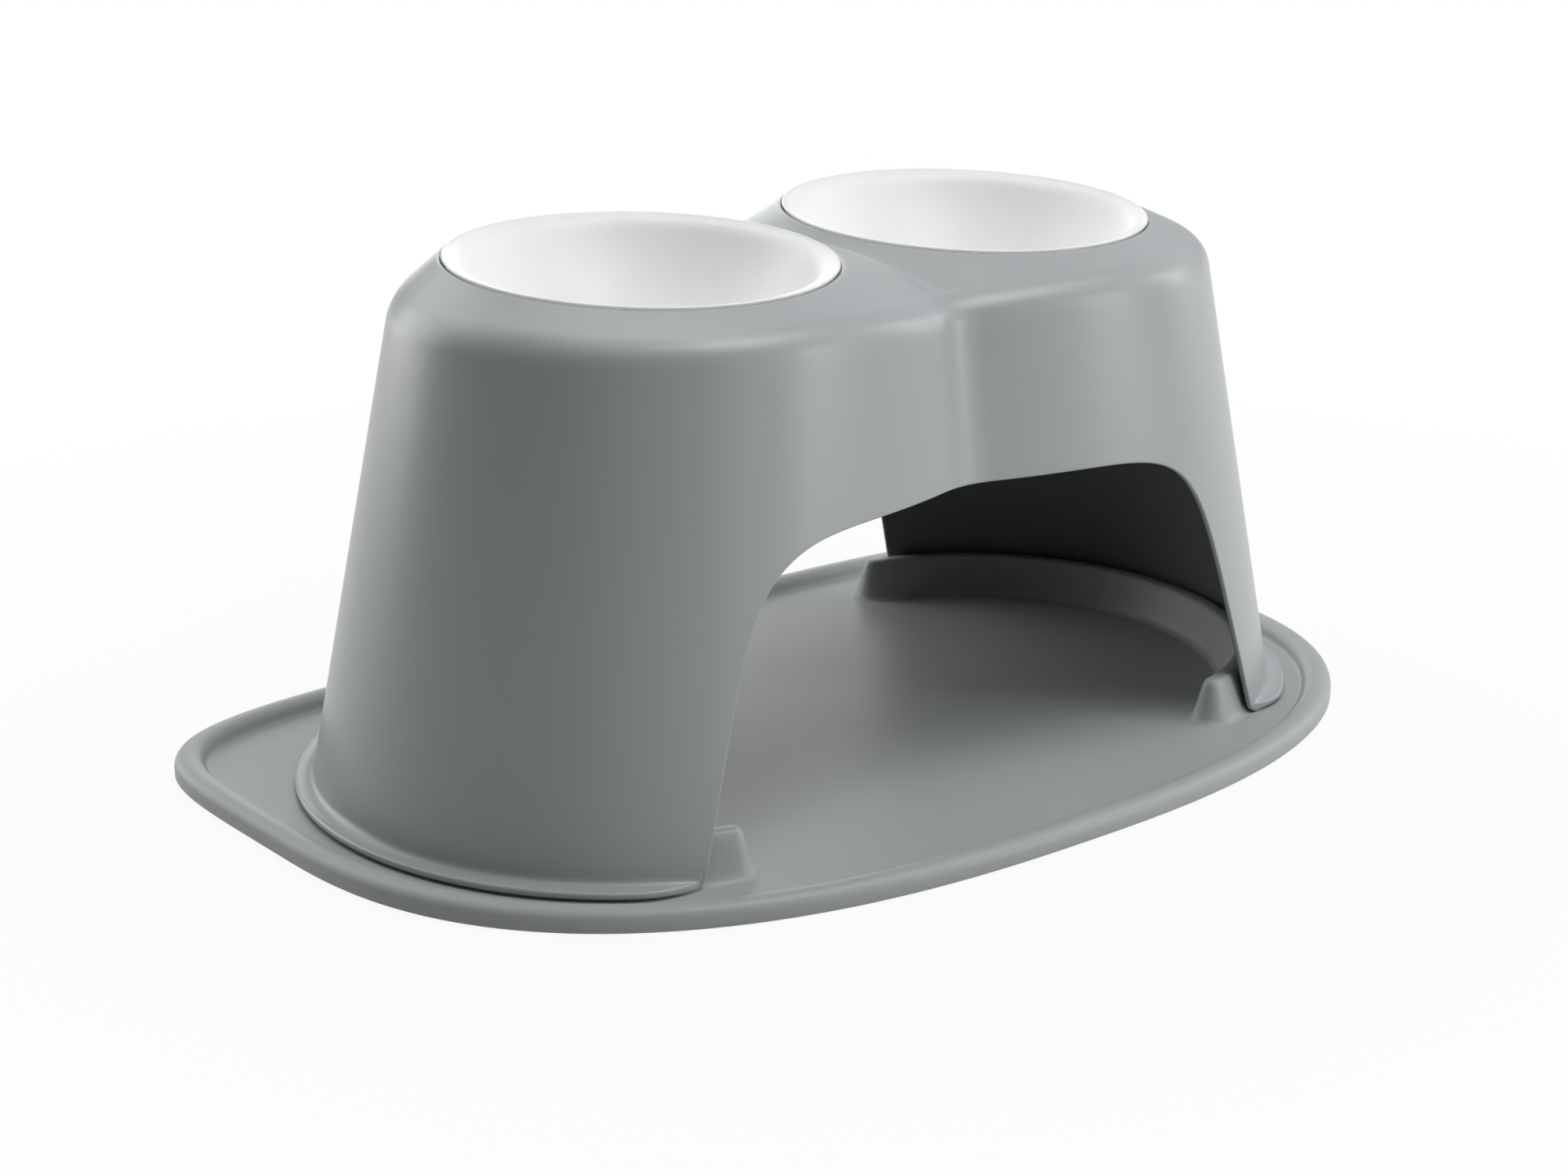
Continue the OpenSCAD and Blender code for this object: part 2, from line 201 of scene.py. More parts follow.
def corner_rise(d):
    """Rise of the rounded bottom corner at a distance d from its end."""
    return FOOT_R - math.sqrt(FOOT_R**2 - max(0, FOOT_R - d) ** 2)


def arch_normal(a):
    """Direction away from the arch's opening, along the wall, in x and z."""
    (x0, z0), (x1, z1) = arch_point(max(0, a - 0.002)), arch_point(min(math.pi / 2, a + 0.002))
    n = math.hypot(x1 - x0, z1 - z0)
    return (z1 - z0) / n, (x0 - x1) / n


def leg_places():
    """Shares s along the foot from the arch to the far end, with their distance from the arch."""
    s_leg = find_s(ARCH_HALF, 0)
    ss = np.linspace(s_leg, 0, 400)
    pts = np.array([foot_at(s, 1, 0) for s in ss])
    run = np.concatenate([[0], np.cumsum(np.linalg.norm(np.diff(pts, axis=0), axis=1))])
    want = LEG_STARTS + list(np.linspace(LEG_STARTS[-1], run[-1], LEG_N)[1:])
    return [(float(np.interp(d, run, ss)), d) for d in want]


def stand_columns():
    """Columns from the front waist to the back waist.

    Each is (s, side, cut, n, edge, flange, low): the share along the outline, front or back, the point of
    the arch's cut or None on a leg, the direction away from the opening, the cut's rounding, the flange's
    share and the height of the column's lower end.
    """
    one = []

    def cut_column(x, z, n):
        s = find_s(x + n[0] * EDGE, z + n[1] * EDGE)
        one.append((s, (x, z), n, EDGE, 0.0, z + n[1] * EDGE))

    one.append((1.0, (0.0, ARCH_H), (0.0, 1.0), EDGE, 0.0, ARCH_H + EDGE))
    for i in range(1, ARCH_N + 1):
        w = 1 - 2 * i / ARCH_N
        a = (45 + 45 * math.copysign(abs(w) ** CROWD, w)) * RAD
        x, z = arch_point(a)
        if z < FOOT_R:
            break
        cut_column(x, z, arch_normal(a))
    for turn in np.linspace(0, math.pi / 4, FOOT_N):
        z = FOOT_R * (1 - math.sin(turn))
        n = np.array([math.cos(turn), ARCH_LEAN * math.cos(turn) + math.sin(turn)])
        cut_column(ARCH_HALF - ARCH_LEAN * z + corner_rise(z), z, tuple(n / np.linalg.norm(n)))
    for s, d in leg_places():
        t = min(1.0, (d - TAPER_START) / TAPER)
        one.append((s, None, (0, 1), 0.0, 1 - (1 - t) ** 2, corner_rise(d)))
    one[-1] = (0.0, *one[-1][1:])
    return [(s, -1, *rest) for s, *rest in one] + [(s, 1, *rest) for s, *rest in reversed(one[:-1])]


def foot_rows(s, side, cut, n, edge, fl, low, bend):
    """Lower rows of one column: flange or arch's margin, cut face, then the inside's first point."""
    if cut is None:
        out = [wall_at(s, side, h + low * (1 - h / FLANGE_H), -fl * o) for h, o in FLARE]
        steps = 2 * len(CUT) + 1
        return out + [wall_at(s, side, low, WALL * k / steps) for k in range(1, steps + 1)]
    x, z = cut

    def edge_at(back, inset):
        px, pz = x + n[0] * edge * back, z + n[1] * edge * back
        return wall_at(1.0 if s == 1 else find_s(px, pz), side, pz, inset)

    m = len(FLARE)
    out = [wall_at(s, side, bend + (low - bend) * (k + 1) / m, 0) for k in range(m)]
    out += [edge_at(back, edge * deep) for back, deep in CUT]
    out += [edge_at(back, WALL - edge * deep) for back, deep in CUT[::-1]]
    return out + [edge_at(1, WALL)]


def shoulder(s, side, inset, sink, w_in, reach):
    """Deck edge, corner and wall points that the rounding runs between, with the deck's softening share."""
    c = corner_at(s, side, inset)
    u = max(0.0, (1 - s) / (1 - ARC))
    low = SHOULDER_H - inset - WAIST_DIP
    k = np.array([c[0], c[1], low + WAIST_DIP * (1 - valley(u) if u < 1 else 1)])
    waist = corner_at(1, side, inset)
    y_in = waist[1] - side * reach
    spine = np.array([0, y_in, bridge_z(y_in, BRIDGE_H - sink, low, waist[1])])
    pull = (1 - u) ** 3 if u < 1 else 0.0
    ring = ring_at(ring_ang(k), EDGE_R, w_in)
    deck = k + (ring - k) * (reach / np.linalg.norm(ring - k))
    if s >= 1:
        d = spine
    else:
        d = deck * (1 - pull) + (k + spine - np.array([0, waist[1], low])) * pull
    return d, k, wall_at(s, side, k[2] - reach, inset), (1 - u) ** 5 if u < 1 else 0.0


def deck_rows(ring, edge, soften):
    """Points from the ring round the seat to the deck's edge; soften rounds the valley at the middle line."""
    out = []
    for i in range(1, DECK_N):
        t = i / DECK_N
        g = 1 - soft(1 - t, VALLEY)
        p = ring + (edge - ring) * t
        p[2] = ring[2] + (edge[2] - ring[2]) * (t + (g - t) * soften)
        out.append(p)
    return out


def seat_rows(ang):
    """Section of the seat, from the hole's edge out and up to the deck."""
    return [ring_at(ang, HOLE_R, SEAT_Z), ring_at(ang, (HOLE_R + SEAT_R) / 2, SEAT_Z),
            ring_at(ang, SEAT_R, SEAT_Z), ring_at(ang, SEAT_R, LAND_Z), ring_at(ang, EDGE_R, LAND_Z)]


def bezier(d, k, w, n):
    """Rounding from d to w with the sharp corner k, in n steps."""
    return [d * (1 - t) ** 2 + k * 2 * t * (1 - t) + w * t * t for t in np.linspace(0, 1, n + 1)]


def stand_mesh():
    """Right half of the shell: points, faces and material indices (0 outside, 1 inside, whose dark material
    is painted shade).
    """
    verts, rows = [], []
    for s, side, cut, n, edge, fl, low in stand_columns():
        d, k, w, soften = shoulder(s, side, 0, 0, LAND_Z, ROUND)
        di, ki, wi, soft_i = shoulder(s, side, WALL, TOP_T, UNDER_Z, ROUND - WALL)
        ang = ring_ang(corner_at(s, side, 0))
        seat = seat_rows(ang)
        under = ring_at(ang, EDGE_R, UNDER_Z)
        bend = low + FLANGE_H
        col = seat + deck_rows(seat[-1], d, soften) + bezier(d, k, w, ROUND_N)
        start = w[2]
        col += [wall_at(s, side, start + (bend - start) * i / WALL_N, 0) for i in range(1, WALL_N + 1)]
        col += foot_rows(s, side, cut, n, edge, fl, low, bend)
        outer = len(col) - len(CUT) - 1
        col += [wall_at(s, side, low + (wi[2] - low) * i / WALL_N, WALL) for i in range(1, WALL_N)]
        col += bezier(di, ki, wi, ROUND_N)[::-1]
        col += deck_rows(under, di, soft_i)[::-1]
        col += [under, ring_at(ang, HOLE_R, UNDER_Z)]
        rows.append([len(verts) + i for i in range(len(col))])
        verts += col
    n_row = len(rows[0])
    deck_end = SEAT_N + DECK_N - 1
    in_end = n_row - 2 - (DECK_N - 1) - 1
    faces, mats = [], []

    def strip(a, b, ks, inside_from):
        for i, j in ks:
            faces.append((a[i], b[i], b[j], a[j]))
            mats.append(1 if i >= inside_from else 0)

    for a, b in zip(rows[:-1], rows[1:]):
        strip(a, b, [(i, (i + 1) % n_row) for i in range(n_row)], outer)
    # Bridge between the bowls: from the back waist to the front waist along the middle line
    yf, yb = corner_at(1, -1, 0)[1], corner_at(1, 1, 0)[1]
    y0, y1 = yb - ROUND, yf + ROUND
    top = [rows[-1][: deck_end + 1] + rows[-1][in_end:]]
    for i in range(1, BRIDGE_N):
        y = y0 + (y1 - y0) * i / BRIDGE_N
        reach, reach_i = (yf, yf + WALL) if y < 0 else (yb, yb - WALL)
        ang = ring_ang((0, y))
        seat, under = seat_rows(ang), ring_at(ang, EDGE_R, UNDER_Z)
        out = np.array([0, y, bridge_z(y, BRIDGE_H, WAIST_H, reach)])
        inn = np.array([0, y, bridge_z(y, BRIDGE_H - TOP_T, WAIST_H - WALL, reach_i)])
        col = seat + deck_rows(seat[-1], out, 1.0) + [out]
        col += [inn] + deck_rows(under, inn, 1.0)[::-1] + [under, ring_at(ang, HOLE_R, UNDER_Z)]
        top.append([len(verts) + j for j in range(len(col))])
        verts += col
    top.append(rows[0][: deck_end + 1] + rows[0][in_end:])
    m = len(top[0])
    pairs = [(i, (i + 1) % m) for i in range(m) if i != deck_end]
    for a, b in zip(top[:-1], top[1:]):
        strip(a, b, pairs, deck_end + 1)
    return [tuple(v) for v in verts], faces, mats


def place(ob):
    """From the stand's own frame to the part's."""
    ob.data.transform(Matrix.Translation((0, STAND_BACK * MM, MAT_T * MM)))
    return ob


stand = place(make_mesh("stand_shell", *mirror_x(*stand_mesh())))

# ---- bowls: turned shell with a sloping band and softened edges ----

# Radius of the rim's outer edge, the angle at which it starts on the band, and how far the rim steps in
# below it, which leaves a dark seam
RIM_R, RIM_START, UNDERCUT = 0.75, -0.3, 1.3


def bowl_z(r, mouth):
    """Height of the dish's curve at radius r, below the rim's top."""
    return -BAND_DROP - (BOWL_DEEP - BAND_DROP) * (1 - (r / mouth) ** BOWL_POWER)


def bowl_profile():
    """Radius and height from the middle of the inside, over the rim, to the middle of the underside."""
    mouth = BOWL_R - BAND_W
    inside = [(mouth * t, bowl_z(mouth * t, mouth)) for t in np.linspace(0, 0.965, 40)]
    p0, p1, p2 = map(np.array, (inside[-1], (mouth - 0.2, -BAND_DROP - 0.1), (mouth + 2.6, -1.75)))
    edge = [tuple(p0 * (1 - t) ** 2 + p1 * 2 * t * (1 - t) + p2 * t * t) for t in np.linspace(0.12, 1, 9)]
    band = [(mouth + 4.4, -1.28), (mouth + 6, -0.82), (mouth + 7.5, -0.38)]
    cx, cz = BOWL_R - RIM_R, -RIM_R
    turns = np.linspace(RIM_START, math.pi / 2, 9)
    rim = [(cx + RIM_R * math.sin(a), cz + RIM_R * math.cos(a)) for a in turns]
    step = [(BOWL_R, cz - 0.05), (BOWL_R - 0.05, cz - 0.12), (BOWL_R - 0.2, cz - 0.17),
            (BOWL_R - UNDERCUT + 0.2, cz - 0.2), (BOWL_R - UNDERCUT + 0.05, cz - 0.3),
            (BOWL_R - UNDERCUT, cz - 0.6), (BOWL_R - UNDERCUT, 0.2 - LIP_T)]
    low = [(BOWL_R - 1.5, -LIP_T), (NECK_R + 0.6, -LIP_T), (NECK_R + 0.1, -LIP_T - 0.25),
           (NECK_R, -LIP_T - 1.0)]
    under = [(NECK_R * t, bowl_z(NECK_R * t, NECK_R) - BOWL_WALL) for t in np.linspace(0.995, 0, 36)]
    return inside + edge + band + rim + step + low + under


def lathe(name, profile, steps=192):
    """Turned object from a profile of radius and height, whose ends lie on the axis."""
    verts, faces, rings = [], [], []
    for r, z in profile:
        pole = r < 1e-6
        rings.append((len(verts), pole))
        if pole:
            verts.append((0.0, 0.0, z))
        else:
            verts += [(r * math.cos(2 * math.pi * i / steps), r * math.sin(2 * math.pi * i / steps), z)
                      for i in range(steps)]
    for (a, a_pole), (b, b_pole) in zip(rings[:-1], rings[1:]):
        for i in range(steps):
            j = (i + 1) % steps
            if a_pole:
                faces.append((a, b + i, b + j))
            elif b_pole:
                faces.append((a + i, b, a + j))
            else:
                faces.append((a + i, b + i, b + j, a + j))
    return make_mesh(name, verts, faces, [0] * len(faces))


bowls = {}
for side, body in ((-1, "bowl_left"), (1, "bowl_right")):
    ob = lathe(body + "_dish", bowl_profile())
    ob.data.transform(Matrix.Translation(Vector((side * BOWL_X, STAND_BACK + BOWL_Y, MAT_T + RIM_H)) * MM)
                      @ Matrix.Rotation(TILT * RAD, 4, "X"))
    bowls[body] = ob

# ---- mat: bordered sheet with two locating ridges moulded on it ----

# Points round the mat, and the sizes of its flat rings towards the middle
MAT_N, RINGS = 360, (0.9, 0.75, 0.55, 0.3)
# Raised border: share of its width inwards, share of its height
BORDER = [(0.09, 0), (0.03, 0.035), (0.0, 0.1), (0.0, 0.3), (0.0, 0.5), (0.012, 0.62), (0.04, 0.73),
          (0.085, 0.83), (0.14, 0.905), (0.21, 0.96), (0.29, 0.99), (0.38, 1.0), (0.47, 0.992), (0.56, 0.965),
          (0.64, 0.925), (0.71, 0.87), (0.77, 0.79), (0.815, 0.7), (0.85, 0.6), (0.88, 0.51), (0.915, 0.44),
          (0.96, 0.4), (1.02, 0.385), (1.1, MAT_T / BORDER_H)]


def mat_at(a):
    """Outline of the mat at the angle a."""
    c, s = math.cos(a), math.sin(a)
    p = MAT_FRONT_P if s < 0 else MAT_BACK_P
    length = (abs(c) ** p + abs(s) ** p) ** (-1 / p)
    reach = MAT_W / 2 + (MAT_WIDE_Y if s < 0 else -MAT_WIDE_Y)
    return np.array([MAT_HALF * length * c, MAT_WIDE_Y + reach * length * s])


def mat_in(a, d):
    """The same point moved inwards by d."""
    t = mat_at(a + 0.006) - mat_at(a - 0.006)
    return mat_at(a) + np.array([-t[1], t[0]]) * (d / np.linalg.norm(t))


def mat_mesh():
    """Bordered sheet as rings round its middle."""
    verts, faces = [], []
    angs = [2 * math.pi * i / MAT_N for i in range(MAT_N)]
    for d, h in BORDER:
        for a in angs:
            p = mat_in(a, BORDER_W * d)
            verts.append((p[0], p[1], BORDER_H * h))
    n = len(BORDER)
    for r in range(n - 1):
        for i in range(MAT_N):
            j = (i + 1) % MAT_N
            faces.append((r * MAT_N + i, r * MAT_N + j, (r + 1) * MAT_N + j, (r + 1) * MAT_N + i))
    # Floor and underside as rings towards the middle, so that the shading stays even
    for base, z, flip in ((n - 1, MAT_T, False), (0, 0.0, True)):
        last = base * MAT_N
        for t in RINGS:
            start = len(verts)
            for i in range(MAT_N):
                x, y, _ = verts[base * MAT_N + i]
                verts.append((x * t, MAT_WIDE_Y + (y - MAT_WIDE_Y) * t, z))
            for i in range(MAT_N):
                j = (i + 1) % MAT_N
                quad = (last + i, last + j, start + j, start + i)
                faces.append(quad[::-1] if flip else quad)
            last = start
        centre = len(verts)
        verts.append((0, MAT_WIDE_Y, z))
        for i in range(MAT_N):
            tri = (last + i, last + (i + 1) % MAT_N, centre)
            faces.append(tri[::-1] if flip else tri)
    return verts, faces


# Cross-section of a ridge: share of the half width, share of the height, with a fillet at the floor
RIDGE_SECT = [(-1.42, -0.012), (-1.30, 0.008), (-1.2, 0.03), (-1.12, 0.07), (-1.06, 0.13), (-1.01, 0.24),
              (-0.97, 0.42), (-0.94, 0.6), (-0.91, 0.76), (-0.86, 0.87), (-0.78, 0.945), (-0.66, 0.985),
              (-0.5, 1.0), (0, 1.0)]
RIDGE_SECT += [(-o, h) for o, h in RIDGE_SECT[-2::-1]]
RIDGE_N, END_N = 90, 16


def ridge_mesh():
    """Ridge inside the right foot; its ends are rounded off and filleted to the floor."""
    inset = WALL + RIDGE_GAP + RIDGE_BASE / 2
    s_end = find_s(ARCH_HALF - RIDGE_PAST, 0)
    path = []
    for i in range(RIDGE_N + 1):
        t = -1 + 2 * i / RIDGE_N
        path.append(np.array(foot_at(s_end * abs(t), -1 if t < 0 else 1, inset)))
    verts, faces, stations = [], [], []

    def frame_of(i):
        """Point of the path with the directions along and across it."""
        along = path[min(RIDGE_N, i + 1)] - path[max(0, i - 1)]
        t = along / np.linalg.norm(along)
        return path[i], t, np.array([t[1], -t[0]])

    def half_width(h):
        """Half of the ridge's width at a share h of its height."""
        return (RIDGE_BASE + (RIDGE_TOP - RIDGE_BASE) * max(0, h)) / 2

    for i in range(RIDGE_N + 1):
        p, t, nrm = frame_of(i)
        if i in (0, RIDGE_N):
            # Rounded stations past the path's last point
            out = -t if i == 0 else t
            cap = []
            for k in range(1, END_N + 1):
                ang = k / END_N * math.pi / 2
                ring = []
                for o, h in RIDGE_SECT:
                    # The section turns about a vertical line at the path's end, so the end is round in plan
                    r = o * half_width(h)
                    q = p + nrm * (r * math.cos(ang)) + out * (abs(r) * math.sin(ang))
                    ring.append((q[0], q[1], RIDGE_H * h))
                cap.append(ring)
            if i == 0:
                stations += cap[::-1]
        stations.append([(*(p + nrm * (o * half_width(h))), RIDGE_H * h) for o, h in RIDGE_SECT])
        if i == RIDGE_N:
            stations += cap
    m = len(RIDGE_SECT)
    for ring in stations:
        verts += ring
    for a in range(len(stations) - 1):
        for k in range(m - 1):
            i = a * m + k
            faces.append((i, i + m, i + m + 1, i + 1))
    return verts, faces


mv, mf = mat_mesh()
rv, rf = ridge_mesh()
ridge_pts = [(x, y + STAND_BACK, z + MAT_T) for x, y, z in rv]
n0 = len(mv)
verts = mv + ridge_pts + [(-x, y, z) for x, y, z in ridge_pts]
faces = mf + [tuple(n0 + i for i in f) for f in rf]
faces += [tuple(n0 + len(rv) + i for i in reversed(f)) for f in rf]
mat_ob = make_mesh("mat_sheet", verts, faces, [0] * len(faces))

# ---- materials ----


def node_mat(name):
    """Empty node material: material, node tree, output node."""
    m = bpy.data.materials.new(name)
    m.use_nodes = True
    t = m.node_tree
    t.nodes.clear()
    out = t.nodes.new("ShaderNodeOutputMaterial")
    return m, t, out


def link(t, a, ao, b, bi):
    """Link output ao of node a to input bi of node b."""
    t.links.new(a.outputs[ao], b.inputs[bi])


def math_node(t, operation, a, b):
    """Result of a Math node on a socket and another socket or a number."""
    node = t.nodes.new("ShaderNodeMath")
    node.operation = operation
    t.links.new(a, node.inputs[0])
    if isinstance(b, float):
        node.inputs[1].default_value = b
    else:
        t.links.new(b, node.inputs[1])
    return node.outputs[0]


def noise(t, coord, scale, detail, rough):
    """Noise texture in the object's own coordinates."""
    n = t.nodes.new("ShaderNodeTexNoise")
    n.inputs["Scale"].default_value = scale
    n.inputs["Detail"].default_value = detail
    n.inputs["Roughness"].default_value = rough
    link(t, coord, "Object", n, "Vector")
    return n


def ramp(t, src, out, *stops):
    """Colour ramp between two stops of position and colour."""
    r = t.nodes.new("ShaderNodeValToRGB")
    link(t, src, out, r, "Fac")
    for element, (position, colour) in zip(r.color_ramp.elements, stops):
        element.position, element.color = position, (*colour, 1)
    return r


# Sizes of the mottling and of the patches that break up the edge colour (noise scale), depth of the grain and
# of the milky look in metres
MOTTLING, EDGE_PATCH_SCALE, GRAIN_DEPTH, MILK_DEPTH = 3.0, 60, 0.0003, 0.01
# Pointiness at which the edge colour starts, and at which it is full: this colour is wear, and on the stand's
# outside it is also a painted highlight along the rounded edges
WEAR_AND_HIGHLIGHT_POINTINESS = (0.515, 0.58)
COAT_ROUGH = 0.04


def grained(name, dark, light, rough, grain, bump, edge, specular, coat=0.0, milky=0.0):
    """Moulded plastic or rubber: slight mottling, fine grain in the bump, and an edge colour on convex edges,
    broken up by noise, which is wear and on the stand's outside also a painted highlight.
    """
    m, t, out = node_mat(name)
    bsdf = t.nodes.new("ShaderNodeBsdfPrincipled")
    link(t, bsdf, "BSDF", out, "Surface")
    coord = t.nodes.new("ShaderNodeTexCoord")
    wide = noise(t, coord, MOTTLING, 5, 0.55)
    base = ramp(t, wide, "Fac", (0.3, dark), (0.7, light))
    geo = t.nodes.new("ShaderNodeNewGeometry")
    wear_and_highlight_mask = ramp(t, geo, "Pointiness", (WEAR_AND_HIGHLIGHT_POINTINESS[0], (0, 0, 0)), (WEAR_AND_HIGHLIGHT_POINTINESS[1], (1, 1, 1)))
    edge_patches = noise(t, coord, EDGE_PATCH_SCALE, 6, 0.6)
    mix = t.nodes.new("ShaderNodeMix")
    mix.data_type = "RGBA"
    t.links.new(math_node(t, "MULTIPLY", wear_and_highlight_mask.outputs["Color"], edge_patches.outputs["Fac"]), mix.inputs["Factor"])
    link(t, base, "Color", mix, 6)
    mix.inputs[7].default_value = (*edge, 1)
    link(t, mix, 2, bsdf, "Base Color")
    fine = noise(t, coord, grain, 3, 0.6)
    rr = t.nodes.new("ShaderNodeMapRange")
    rr.inputs["To Min"].default_value, rr.inputs["To Max"].default_value = rough
    link(t, wide, "Fac", rr, "Value")
    link(t, rr, "Result", bsdf, "Roughness")
    b = t.nodes.new("ShaderNodeBump")
    b.inputs["Strength"].default_value = bump
    b.inputs["Distance"].default_value = GRAIN_DEPTH
    link(t, fine, "Fac", b, "Height")
    link(t, b, "Normal", bsdf, "Normal")
    bsdf.inputs["Specular IOR Level"].default_value = specular
    bsdf.inputs["Coat Weight"].default_value = coat
    bsdf.inputs["Coat Roughness"].default_value = COAT_ROUGH
    bsdf.inputs["Subsurface Weight"].default_value = milky
    bsdf.inputs["Subsurface Radius"].default_value = (1, 1, 1)
    bsdf.inputs["Subsurface Scale"].default_value = MILK_DEPTH
    return m


# Stand's outside: its paler edge colour is partly wear and partly a painted highlight along the rounded edges
# of the arch
stand_mat = grained("stand_plastic", (0.347, 0.37, 0.378), (0.373, 0.398, 0.405), (0.3, 0.36), 2600, 0.1,
                    (0.5, 0.51, 0.515), 0.5)
# Inside of the shell: its dark grey is painted shade for the shadow inside the hollow stand, and its edge
# colour is darker still
inside_painted_shade_mat = grained("stand_inside_painted_shade", (0.13, 0.135, 0.138), (0.15, 0.156, 0.159), (0.55, 0.65), 1800, 0.2,
                     (0.05, 0.05, 0.05), 0.25)
mat_mat = grained("mat_rubber", (0.342, 0.359, 0.363), (0.375, 0.394, 0.398), (0.42, 0.5), 1900, 0.16,
                  (0.42, 0.43, 0.44), 0.42)
bowl_mat = grained("bowl_gloss", (0.87, 0.87, 0.867), (0.89, 0.89, 0.887), (0.34, 0.4), 400, 0.01,
                   (0.89, 0.89, 0.89), 0.2, coat=0.08, milky=0.6)

stand.data.materials.append(stand_mat)
stand.data.materials.append(inside_painted_shade_mat)
mat_ob.data.materials.append(mat_mat)
for ob in bowls.values():
    ob.data.materials.append(bowl_mat)
for name, m in (("mat", mat_mat), ("stand", stand_mat), ("bowl_left", bowl_mat), ("bowl_right", bowl_mat)):
    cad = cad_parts[name]
    cad.data.materials.clear()
    cad.data.materials.append(m)

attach(stand, "stand")
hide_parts("stand")
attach(mat_ob, "mat")
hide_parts("mat")
for body, ob in bowls.items():
    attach(ob, body)
    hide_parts(body)

# ---- floor, light and camera ----

# Floor: radius in metres, height just below the mat, and tone for the light that it throws back
FLOOR_R, FLOOR_Z, FLOOR_TONE = 30, -0.0004, 0.62
# The floor is seen white; within the first distance it keeps this share of white, so a faint shadow stays
WHITE_FROM, WHITE_TO, NEAR_WHITE = 0.3, 0.8, 0.92
# Pale studio wall on one side: lowest and highest height as sines of the elevation, strength
WALLS = ((-0.1, 0.25, 0.34), (0.25, 0.6, 0.53))
WALL_SIDE, WALL_EDGE, WALL_BLUR = (0.63, 0.777, 0), 0.3, 0.1
# Light of the rest of the room
ROOM, ROOM_TINT = 0.015, (0.97, 0.985, 1, 1)


def disc(name, radius, z, rings=12, steps=96):
    """Flat disc whose rings are finer towards the middle."""
    verts, faces = [(0, 0, z)], []
    for k in range(1, rings + 1):
        r = radius * (k / rings) ** 2
        verts += [(r * math.cos(2 * math.pi * i / steps), r * math.sin(2 * math.pi * i / steps), z)
                  for i in range(steps)]
    for i in range(steps):
        faces.append((0, 1 + i, 1 + (i + 1) % steps))
    for k in range(rings - 1):
        a, b = 1 + k * steps, 1 + (k + 1) * steps
        for i in range(steps):
            j = (i + 1) % steps
            faces.append((a + i, b + i, b + j, a + j))
    me = bpy.data.meshes.new(name)
    me.from_pydata(verts, [], faces)
    ob = bpy.data.objects.new(name, me)
    bpy.context.scene.collection.objects.link(ob)
    return ob


floor = disc("floor", FLOOR_R, FLOOR_Z)
fm, ft, fout = node_mat("floor_white")
diff = ft.nodes.new("ShaderNodeBsdfDiffuse")
diff.inputs["Color"].default_value = (FLOOR_TONE, FLOOR_TONE, FLOOR_TONE, 1)
glow = ft.nodes.new("ShaderNodeEmission")
glow.inputs["Color"].default_value = (1, 1, 1, 1)
glow.inputs["Strength"].default_value = 1.0
lp = ft.nodes.new("ShaderNodeLightPath")
coord = ft.nodes.new("ShaderNodeTexCoord")
dist = ft.nodes.new("ShaderNodeVectorMath")
dist.operation = "LENGTH"
link(ft, coord, "Object", dist, 0)
far = ft.nodes.new("ShaderNodeMapRange")
far.inputs["From Min"].default_value, far.inputs["From Max"].default_value = WHITE_FROM, WHITE_TO
far.inputs["To Min"].default_value, far.inputs["To Max"].default_value = NEAR_WHITE, 1.0
link(ft, dist, "Value", far, "Value")
seen = math_node(ft, "MAXIMUM", lp.outputs["Is Camera Ray"], lp.outputs["Is Glossy Ray"])
seen = math_node(ft, "MAXIMUM", seen, lp.outputs["Is Transmission Ray"])
mixs = ft.nodes.new("ShaderNodeMixShader")
ft.links.new(math_node(ft, "MULTIPLY", seen, far.outputs["Result"]), mixs.inputs["Fac"])
link(ft, diff, "BSDF", mixs, 1)
link(ft, glow, "Emission", mixs, 2)
link(ft, mixs, "Shader", fout, "Surface")
floor.data.materials.append(fm)

world = bpy.data.worlds.new("studio")
bpy.context.scene.world = world
world.use_nodes = True
wt = world.node_tree
wt.nodes.clear()
wdir = wt.nodes.new("ShaderNodeTexCoord")
height = wt.nodes.new("ShaderNodeSeparateXYZ")
link(wt, wdir, "Generated", height, "Vector")
towards = wt.nodes.new("ShaderNodeVectorMath")
towards.operation = "DOT_PRODUCT"
towards.inputs[1].default_value = WALL_SIDE
link(wt, wdir, "Generated", towards, 0)


def smooth_step(socket, start, end):
    """Soft step from 0 at start to 1 at end of a socket's value."""
    node = wt.nodes.new("ShaderNodeMapRange")
    node.interpolation_type = "SMOOTHSTEP"
    node.inputs["From Min"].default_value, node.inputs["From Max"].default_value = start, end
    wt.links.new(socket, node.inputs["Value"])
    return node.outputs[0]


on_side = smooth_step(towards.outputs["Value"], -WALL_EDGE, WALL_EDGE)
total = None
for low, high, strength in WALLS:
    up = smooth_step(height.outputs["Z"], low - WALL_BLUR, low + WALL_BLUR)
    down = smooth_step(height.outputs["Z"], high + WALL_BLUR, high - WALL_BLUR)
    band = math_node(wt, "MULTIPLY", math_node(wt, "MULTIPLY", up, down), on_side)
    band = math_node(wt, "MULTIPLY", band, strength)
    total = math_node(wt, "ADD", band, ROOM if total is None else total)
wo = wt.nodes.new("ShaderNodeOutputWorld")
amb = wt.nodes.new("ShaderNodeBackground")
amb.inputs["Color"].default_value = ROOM_TINT
wt.links.new(total, amb.inputs["Strength"])
white = wt.nodes.new("ShaderNodeBackground")
white.inputs["Color"].default_value = (1, 1, 1, 1)
white.inputs["Strength"].default_value = 1.0
wlp = wt.nodes.new("ShaderNodeLightPath")
wmix = wt.nodes.new("ShaderNodeMixShader")
link(wt, wlp, "Is Camera Ray", wmix, "Fac")
link(wt, amb, 0, wmix, 1)
link(wt, white, 0, wmix, 2)
link(wt, wmix, 0, wo, "Surface")


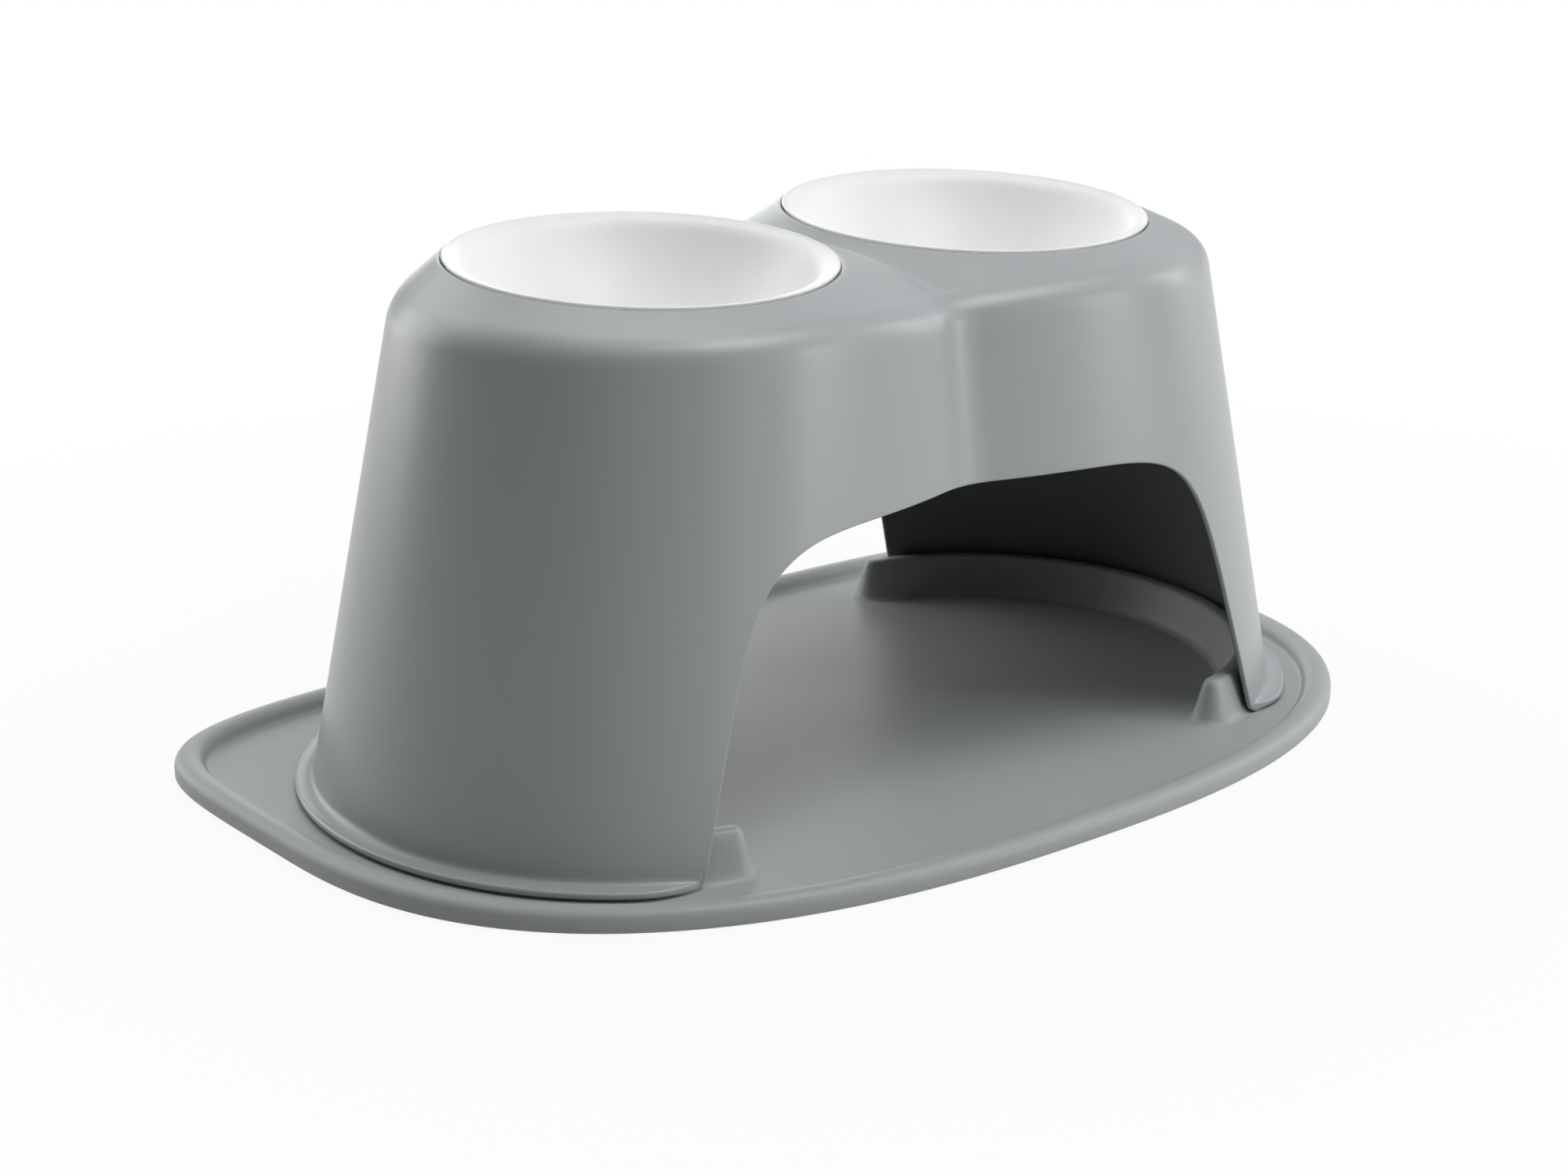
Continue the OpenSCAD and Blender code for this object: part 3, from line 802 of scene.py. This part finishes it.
def area(name, pos, target, size, power):
    """Rectangular area lamp at pos that looks at target."""
    light = bpy.data.lights.new(name, "AREA")
    light.shape = "RECTANGLE"
    light.size, light.size_y = size
    light.energy = power
    ob = bpy.data.objects.new(name, light)
    bpy.context.scene.collection.objects.link(ob)
    ob.location = pos
    ob.rotation_mode = "QUATERNION"
    ob.rotation_quaternion = (Vector(target) - Vector(pos)).to_track_quat("-Z", "Y")


# All boxes look at this height above the middle, from this distance, in metres
AIM_Z, BOX_FAR = 0.12, 2.2
# Soft boxes round the object: azimuth and height angle in degrees, size in metres, power in watts
BOXES = (
    ("key_high_front", 290, 66, (1.1, 1.1), 15.1),
    ("key_high_right", 330, 66, (1.1, 1.1), 8.1),
    ("key_right", 310, 38, (1.1, 1.1), 3.2),
    ("strip_right", 306, 10, (0.3, 1.0), 9.4),
    ("side_right", 345, 16, (0.5, 1.1), 6.6),
    ("low_front", 280, 12, (1.1, 1.1), 4.0),
    ("rim_left", 113, 12, (1.4, 1.1), 14.1),
    ("rim_back", 60, 12, (1.1, 1.1), 6.6),
    ("back_left", 105, 38, (1.5, 1.1), 8.6),
    ("back_high", 60, 66, (1.1, 1.1), 6.6),
    ("left_high", 210, 66, (1.1, 1.1), 2.8),
    ("top", 0, 90, (1.6, 1.6), 7.4),
)
for name, az, el, size, power in BOXES:
    a, e = az * RAD, el * RAD
    out = BOX_FAR * math.cos(e)
    pos = (out * math.cos(a), out * math.sin(a), AIM_Z + BOX_FAR * math.sin(e))
    area(name, pos, (0, 0, AIM_Z), size, power)

# Camera at the photo's place: lens in millimetres, place in the stand's frame, its right, up and back
LENS, CAM_AT = 65.71, Vector((-0.889891, -1.073525, 0.515521))
cam_data = bpy.data.cameras.new("camera")
cam_data.sensor_width = 36
cam_data.lens = LENS
cam_data.clip_start, cam_data.clip_end = 0.05, 200
cam = bpy.data.objects.new("camera", cam_data)
bpy.context.scene.collection.objects.link(cam)
right = Vector((0.7763915, -0.6302509, 0.0))
up = Vector((0.1919803, 0.2364961, 0.9524774))
back = Vector((-0.6002998, -0.7394954, 0.3046093))
cam_at = CAM_AT + Vector((0, STAND_BACK * MM, MAT_T * MM))
cam.matrix_world = Matrix.Translation(cam_at) @ Matrix((right, up, back)).transposed().to_4x4()
bpy.context.scene.camera = cam
bpy.context.scene.view_settings.view_transform = "Standard"
